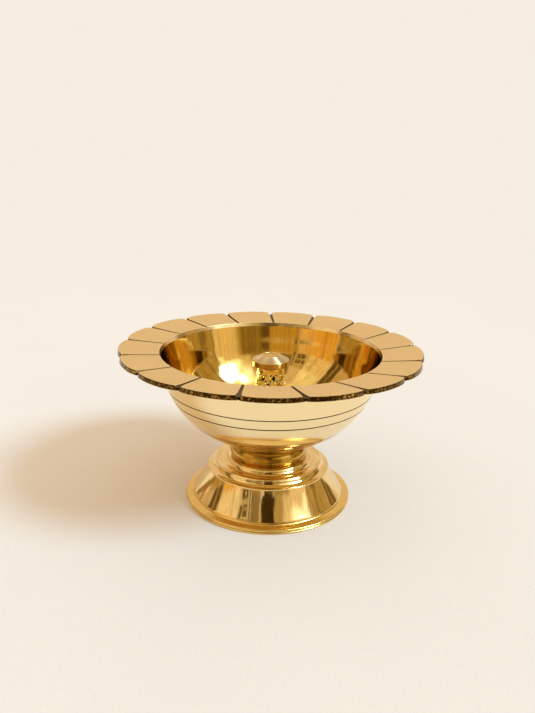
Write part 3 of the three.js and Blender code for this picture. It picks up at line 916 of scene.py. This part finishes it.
# Leaf strokes of the engraver round every piercing: (across, up, turn, half length).
leafStrokes = {
    "diamond": [(side * 1.35, up * 1.35, -side * up * 0.75, 0.85) for side in (-1, 1) for up in (-1, 1)],
    "hole": [(side * 0.95, up * 0.8, side * up * 0.9, 0.6) for side in (-1, 1) for up in (-1, 1)]
    + [(0.0, 1.5, 1.57, 0.55), (0.0, -1.5, 1.57, 0.55)],
}


# How deep the graver has cut here, from 0 to 1. The work repeats from one column of diamonds to the next.
def leafCut(angle, height, places):
    pitch = fullTurn / cage["columns"]
    deepest = 0.0
    for kind, centreAngle, radius, centreHeight in places:
        turn = (angle - centreAngle + pitch / 2) % pitch - pitch / 2
        across, up = turn * radius, height - centreHeight
        if max(abs(across), abs(up)) > cage["leafReach"]:
            continue
        for strokeAcross, strokeUp, tilt, halfLength in leafStrokes[kind]:
            right, above = across - strokeAcross, up - strokeUp
            along = right * math.cos(tilt) + above * math.sin(tilt)
            aside = above * math.cos(tilt) - right * math.sin(tilt)
            fromMiddle = math.hypot(along / halfLength, aside / cage["leafHalf"])
            deepest = max(deepest, 1 - fromMiddle ** 2)
    return deepest


# A tapered plug for one piercing, wider outside than inside.
def addPlug(cutter, kind, angle, share):
    radius, height, lean = cageWallAt(share)
    half = cage["diamondHalf"] if kind == "diamond" else (cage["holeRadius"], cage["holeRadius"])
    corners = 4 if kind == "diamond" else 12
    outwards = Vector((math.cos(angle), math.sin(angle), 0))
    across = Vector((-math.sin(angle), math.cos(angle), 0))
    up = Vector((0, 0, 1))
    middle = outwards * radius + up * height
    stations = [(-2.2, -0.08), (-0.5, 0.0), (0.0, cage["flare"] * 0.8), (1.0, cage["flare"] * 2.4)]
    rings = []
    for depth, growth in stations:    # how far out each ring of the plug is, and how much wider
        ring = []
        for corner in range(corners):
            turn = corner * fullTurn / corners
            place = middle + outwards * depth + across * math.cos(turn) * (half[0] + growth)
            place += up * (math.sin(turn) * (half[1] + growth) + depth * math.tan(lean))
            ring.append(cutter.verts.new(place * mm))
        rings.append(ring)
    for lower, upper in zip(rings, rings[1:]):
        for i in range(corners):
            following = (i + 1) % corners
            cutter.faces.new((lower[i], lower[following], upper[following], upper[i]))
    cutter.faces.new(rings[0][::-1])
    cutter.faces.new(rings[-1])


def makeCage():
    outside = through(cage["outside"], cage["rowsPerSpan"])
    inside = beside(through(cage["outside"], 8), cage["wall"])[::-1]
    top, mouthRadius = levels["cageTop"], cage["mouth"]
    shoulder = pulled(outside[-1], (6.2, top - 0.5), (4.9, top), 10)[1:]
    mouth = [(mouthRadius + 0.2, top), (mouthRadius, top - 0.2), (mouthRadius, top - 1.0), (4.4, top - 1.4)]
    foot = [(inside[-1][0], cage["outside"][0][1])]
    profile = outside + shoulder + mouth + inside[:-1] + foot
    bm = spinProfile(profile, cage["steps"])
    rowLayer = bm.verts.layers.int["row"]
    recessLayer = bm.verts.layers.float.new("recess")
    oneColumn = piercings()[:len(cage["diamondRows"]) + len(cage["holeRows"])]
    places = [(kind, angle, *cageWallAt(share)[:2]) for kind, angle, share in oneColumn]
    for vert in bm.verts:
        row = vert[rowLayer]
        if cage["plainRows"] < row < len(outside) - cage["plainRows"]:
            radius, angle, height = whereIs(vert)
            cut = smoothStep(leafCut(angle, height, places) * cage["leafSlope"])
            vert.co = placeAt(radius - cage["leafDepth"] * cut, angle, height)
            # painted shade in the engraved cut, as deep as the cut
            vert[recessLayer] = cut
        elif row > len(outside) + len(shoulder) + 2:    # inside the cage, painted full shade
            vert[recessLayer] = 1.0
    cutter = bmesh.new()
    for kind, angle, share in piercings():
        addPlug(cutter, kind, angle, share)
    bmesh.ops.recalc_face_normals(cutter, faces=cutter.faces)
    bm = cutAway(bm, cutter)
    bmesh.ops.triangulate(bm, faces=[face for face in bm.faces if len(face.verts) > 4])
    for face in bm.faces:
        face.material_index = int(face.calc_center_median().z > cage["lipFrom"] * mm)
    makePiece(bm, "wickCage", ["cageBrass", "cageLip"], "wick_holder", "wick_cage",
              sharpDegrees=34)


makeCage()


# Cap, a dished disc on a low cone, with a spigot that hangs in the mouth of the cage

cap = {
    "radius": 8.8, "rimTop": 68.6, "lowerRounding": 0.25, "upperRounding": 0.22, "lines": 4,
    "firstLine": 0.6, "lineStep": 0.45, "lineHalf": 0.07, "lineDepth": 0.045, "discHeight": 70.8,
    "discRadius": 4.3, "discEdge": 0.2, "dishDepth": 0.5, "spigot": 3.1, "spigotBottom": 62.1,
    "spigotRounding": 0.3, "steps": 160,
}


def capSection():
    widest, low, rim = cap["radius"], levels["cageTop"], cap["rimTop"]
    under, over, half = cap["lowerRounding"], cap["upperRounding"], cap["lineHalf"]
    side = arc((widest - under, low + under), under, -90, 0, 4)
    for line in range(cap["lines"]):
        height = low + cap["firstLine"] + line * cap["lineStep"]
        side += [(widest, height - half), (widest - cap["lineDepth"], height), (widest, height + half)]
    side += arc((widest - over, rim - over), over, 0, 65, 4)
    disc, discRadius = cap["discHeight"], cap["discRadius"]
    dome = pulled((widest - 0.3, rim + 0.1), (6.4, rim + 0.95), (discRadius + 0.12, disc - 0.16), 10)
    edge = arc((discRadius - 0.1, disc - cap["discEdge"]), cap["discEdge"], 20, 170, 6)
    bottom = disc - cap["dishDepth"]
    dish = pulled((discRadius - 0.36, disc - 0.18), (discRadius - 0.9, bottom), (2.2, bottom), 8)
    dish += [(1.2, bottom), (0.0, bottom)]
    spigotRadius, spigotBottom, rounding = cap["spigot"], cap["spigotBottom"], cap["spigotRounding"]
    spigot = [(0.0, spigotBottom)]
    spigot += arc((spigotRadius - rounding, spigotBottom + rounding), rounding, -90, 0, 3)
    spigot += [(spigotRadius, low - 0.2), (spigotRadius + 0.2, low)]
    # The cap's side takes the darker rim finish with painted shade.
    return [("capRim", side), ("turnedCap", dome), ("brightEdge", edge), ("polishedDisc", dish),
            ("drawnBrass", spigot)]


makeTurnedPiece("wickCap", capSection(), cap["steps"], "wick_lid", "wick_cap")
print("pieces ready")


# Floor that runs into the backdrop without an edge

backdrop = (0.925, 0.85, 0.752)
floorLook = {
    "radius": 3.0, "lit": (0.94, 0.895, 0.85), "roughness": 0.9, "fade": (0.32, 0.8), "grain": 0.03,
    "grainSize": 900.0, "grainHeight": 0.0001, "patches": 0.025, "patchSize": 9.0,
    "mirrored": (0.80, 0.63, 0.46), "frontEdge": 0.36, "edgeBlur": 0.05, "beyondFront": (0.16, 0.10, 0.03),
}


# Far from the lamp the floor glows as the backdrop. In the brass it glows as a painted reflection: the room's
# wall colour, and in front a painted dark reflection where the table ends.
def floorFinish():
    look = floorLook
    material, tree, shader, place = newMaterial("paperFloor")
    fine = noiseAt(tree, place, look["grainSize"], 3.0)
    broad = noiseAt(tree, place, look["patchSize"], 3.0)
    grain = fromTo(tree, fine, *effects["plainRange"], 1 - look["grain"], 1.0)
    patch = fromTo(tree, broad, *effects["plainRange"], 1 - look["patches"], 1.0)
    share = maths(tree, "MULTIPLY", grain, patch)
    tint = mixColour(tree, share, (0, 0, 0, 1), (*look["lit"], 1))
    bump = add(tree, "Bump", {"Height": fine, "Distance": look["grainHeight"]})
    connect(tree, shader, {"Base Color": tint, "Roughness": look["roughness"], "Normal": bump.outputs[0],
                           "Specular IOR Level": 0.0})
    across = add(tree, "SeparateXYZ", {0: place}).outputs[1]
    edge = -look["frontEdge"]
    inFront = fromTo(tree, across, edge, edge - look["edgeBlur"], 0.0, 1.0, "SMOOTHSTEP")
    # Painted reflection of the room and of the dark beyond the table's front edge, seen only in the brass.
    farColour = mixColour(tree, inFront, (*look["mirrored"], 1), (*look["beyondFront"], 1))
    seenByCamera = add(tree, "LightPath").outputs["Is Camera Ray"]
    farColour = mixColour(tree, seenByCamera, farColour, (*backdrop, 1))
    glow = add(tree, "Emission", {"Color": farColour})
    distance = add(tree, "VectorMath", {0: place}, operation="LENGTH").outputs["Value"]
    fade = fromTo(tree, distance, *look["fade"], 0.0, 1.0, "SMOOTHSTEP")
    ended = maths(tree, "MULTIPLY", inFront, maths(tree, "SUBTRACT", 1.0, seenByCamera))
    mixed = add(tree, "MixShader", {0: maths(tree, "MAXIMUM", fade, ended), 1: shader.outputs[0],
                                    2: glow.outputs[0]})
    tree.links.new(mixed.outputs[0], tree.nodes["Material Output"].inputs[0])
    return material


def makeFloor():
    bm = bmesh.new()
    bmesh.ops.create_circle(bm, cap_ends=True, segments=96, radius=floorLook["radius"])
    floor = makeObject(bm, "floor")
    floor.data.materials.append(floorFinish())


makeFloor()


# Light: an even warm ambient, a window as the sun, and a room that shows only in the brass.
# Azimuth 0 is behind the camera and grows to the right. Angles are in degrees.

ambient = (0.82, 0.67, 0.49)
room = {
    "wall": (0.80, 0.63, 0.46), "streaks": 0.35, "streakSize": 0.8, "streakHeight": 0.12,
    # Each thing: its azimuths, its elevations, how soft its edges are, and its colour
    "things": {
        "paleWall": ((28, 74), (-30, 44), 8, (0.86, 0.66, 0.38)),
        "brightWall": ((30, 52), (43, 64), 5, (1.5, 1.6, 1.6)),
        "highWall": ((-80, -46), (38, 80), 4, (1.05, 0.95, 0.75)),
        "window": ((41, 76), (27, 64), 4, (1.4, 1.4, 1.25)),
        "windowSide": ((62, 68), (16, 64), 1, (1.3, 1.2, 1.0)),
        "sky": ((53, 70), (35, 46), 5, (9.0, 10.0, 10.0)),
        "skyBetweenTrees": ((45, 60), (50, 59), 4, (8.0, 9.0, 9.0)),
        "cupboard": ((11, 27), (-30, 50), 3, (0.48, 0.34, 0.13)),
        "curtain": ((73, 106), (-30, 52), 2, (0.47, 0.32, 0.11)),
        "curtainEdge": ((71, 73), (-30, 52), 1, (0.26, 0.17, 0.06)),
        "curtainFold": ((80, 90), (-30, 11), 2, (0.27, 0.18, 0.06)),
        "curtainFoldTop": ((84, 86), (11, 52), 1, (0.2, 0.13, 0.04)),
        "corner": ((107, 123), (-30, 46), 2, (0.22, 0.13, 0.04)),
        "cornerLight": ((113, 114), (-30, 46), 1, (0.50, 0.34, 0.14)),
        "doorPost": ((-28, -13), (19, 52), 1, (0.28, 0.19, 0.08)),
        "postEdge": ((-13, -11), (19, 52), 0.6, (0.60, 0.42, 0.18)),
        "darkScreen": ((-10, 12), (23, 52), 1, (0.05, 0.025, 0.005)),
        "screenFoot": ((-6, 9), (19.5, 24), 1, (0.05, 0.025, 0.005)),
        "backWall": ((-31, 40), (-30, 19), 3, (0.58, 0.35, 0.07)),
        "seat": ((10, 38), (-30, 21), 4, (0.28, 0.18, 0.04)),
        "passage": ((2, 13), (-30, 18), 2, (0.14, 0.08, 0.02)),
        "wallEdge": ((-33, -29), (-30, 19), 1.5, (0.46, 0.29, 0.08)),
        "lowShelf": ((-50, -34), (-30, 16), 3, (0.90, 0.56, 0.20)),
        "alcove": ((-48, -31), (16, 42), 1, (0.60, 0.44, 0.21)),
        "alcoveSide": ((-31, -29), (16, 42), 0.6, (0.14, 0.09, 0.03)),
        "box": ((-44, -34), (17, 24), 0.7, (0.12, 0.07, 0.02)),
        "boxLabel": ((-40, -37), (19, 22), 0.6, (0.60, 0.44, 0.22)),
        "books": ((-46, -34), (28, 36), 0.7, (0.12, 0.07, 0.02)),
        "gapInBooks": ((-42, -40.5), (27, 37), 0.5, (0.6, 0.42, 0.2)),
        "topBook": ((-39, -35), (30, 32), 0.5, (0.55, 0.4, 0.18)),
        "woodPanel": ((-82, -50), (-30, 16), 3, (0.86, 0.47, 0.1)),
        "panelJoint": ((-67, -64), (-30, 15), 1, (0.64, 0.33, 0.07)),
        "screen": ((-82, -50), (16, 40), 3, (0.92, 0.72, 0.46)),
        "screenEdge": ((-60, -58), (16, 40), 1, (0.62, 0.43, 0.20)),
        "doorLeaf": ((-98, -83), (9, 44), 1.5, (0.14, 0.08, 0.02)),
        "doorPanel": ((-91.5, -89.5), (9, 40), 1, (0.42, 0.28, 0.1)),
        "sideWall": ((-113, -99), (8, 46), 2, (0.66, 0.46, 0.24)),
        "lowDoor": ((-108, -83), (-30, 9), 2, (0.46, 0.29, 0.07)),
        "darkSide": ((-140, -106), (-30, 4.5), 1, (0.34, 0.20, 0.05)),
        "redCushion": ((-119, -114), (4, 40), 1, (0.58, 0.22, 0.06)),
    },
}


# 1 between two angles and 0 outside them, with soft ends.
def between(tree, angle, limits, soft):
    entering = fromTo(tree, angle, limits[0] - soft, limits[0] + soft, 0.0, 1.0, "SMOOTHSTEP")
    leaving = fromTo(tree, angle, limits[1] - soft, limits[1] + soft, 1.0, 0.0, "SMOOTHSTEP")
    return maths(tree, "MULTIPLY", entering, leaving)


def roomColour(tree):
    split = add(tree, "SeparateXYZ", {0: add(tree, "TexCoord").outputs["Generated"]}).outputs
    around = maths(tree, "ARCTAN2", split[0], maths(tree, "MULTIPLY", split[1], -1.0))
    azimuth = maths(tree, "DEGREES", around)
    elevation = maths(tree, "DEGREES", maths(tree, "ARCSINE", split[2]))
    colour = add(tree, "RGB").outputs[0]
    colour.default_value = (*room["wall"], 1)
    for azimuths, elevations, soft, tint in room["things"].values():
        wide = between(tree, azimuth, azimuths, soft)
        high = between(tree, elevation, elevations, soft)
        colour = mixColour(tree, maths(tree, "MULTIPLY", wide, high), colour, (*tint, 1))
    tall = maths(tree, "MULTIPLY", elevation, room["streakHeight"])
    place = add(tree, "CombineXYZ", {0: azimuth, 1: tall}).outputs[0]
    streak = noiseAt(tree, place, room["streakSize"], 4.0)
    shade = fromTo(tree, streak, *effects["plainRange"], 1 - room["streaks"], 1 + room["streaks"])
    return add(tree, "VectorMath", {0: colour, "Scale": shade}, operation="SCALE").outputs[0]


def makeWorld():
    world = bpy.data.worlds.new("room")
    bpy.context.scene.world = world
    world.use_nodes = True
    tree = world.node_tree
    ray = add(tree, "LightPath").outputs
    colour = mixColour(tree, ray["Is Glossy Ray"], (*ambient, 1), roomColour(tree))
    colour = mixColour(tree, ray["Is Camera Ray"], colour, (*backdrop, 1))
    connect(tree, tree.nodes["Background"], {"Color": colour})


makeWorld()

sun = {"azimuth": 69, "elevation": 42, "colour": (0.49, 0.75, 1.0), "strength": 2.05, "width": 18}


def makeSun():
    lamp = bpy.data.lights.new("window", "SUN")
    lamp.energy = sun["strength"]
    lamp.color = sun["colour"]
    lamp.angle = math.radians(sun["width"])
    light = bpy.data.objects.new("window", lamp)
    azimuth, elevation = math.radians(sun["azimuth"]), math.radians(sun["elevation"])
    towards = Vector((math.sin(azimuth) * math.cos(elevation), -math.cos(azimuth) * math.cos(elevation),
                      math.sin(elevation)))
    light.rotation_euler = towards.to_track_quat("Z", "Y").to_euler()
    bpy.context.scene.collection.objects.link(light)


makeSun()


# Camera, where the photograph was taken from

cameraLook = {
    "place": (0.0, -0.289102, 0.157875), "lens": 32.72, "sensor": 36, "pitch": 16.93, "yaw": -0.307,
    "roll": 1.278, "nearest": 0.01,
}


def makeCamera():
    pitch, yaw, roll = (math.radians(cameraLook[key]) for key in ("pitch", "yaw", "roll"))
    forward = Vector((math.sin(yaw) * math.cos(pitch), math.cos(yaw) * math.cos(pitch), -math.sin(pitch)))
    right = Vector((math.cos(yaw), -math.sin(yaw), 0))
    up = right.cross(forward)
    rolledRight = right * math.cos(roll) + up * math.sin(roll)
    rolledUp = up * math.cos(roll) - right * math.sin(roll)
    data = bpy.data.cameras.new("camera")
    data.lens = cameraLook["lens"]
    data.sensor_width = cameraLook["sensor"]
    data.clip_start = cameraLook["nearest"]
    camera = bpy.data.objects.new("camera", data)
    turn = Matrix((rolledRight, rolledUp, -forward)).transposed().to_4x4()
    camera.matrix_world = Matrix.Translation(cameraLook["place"]) @ turn
    bpy.context.scene.collection.objects.link(camera)
    bpy.context.scene.camera = camera


makeCamera()
bpy.context.scene.view_settings.view_transform = "Standard"
bpy.context.view_layer.update()
print("stage ready")
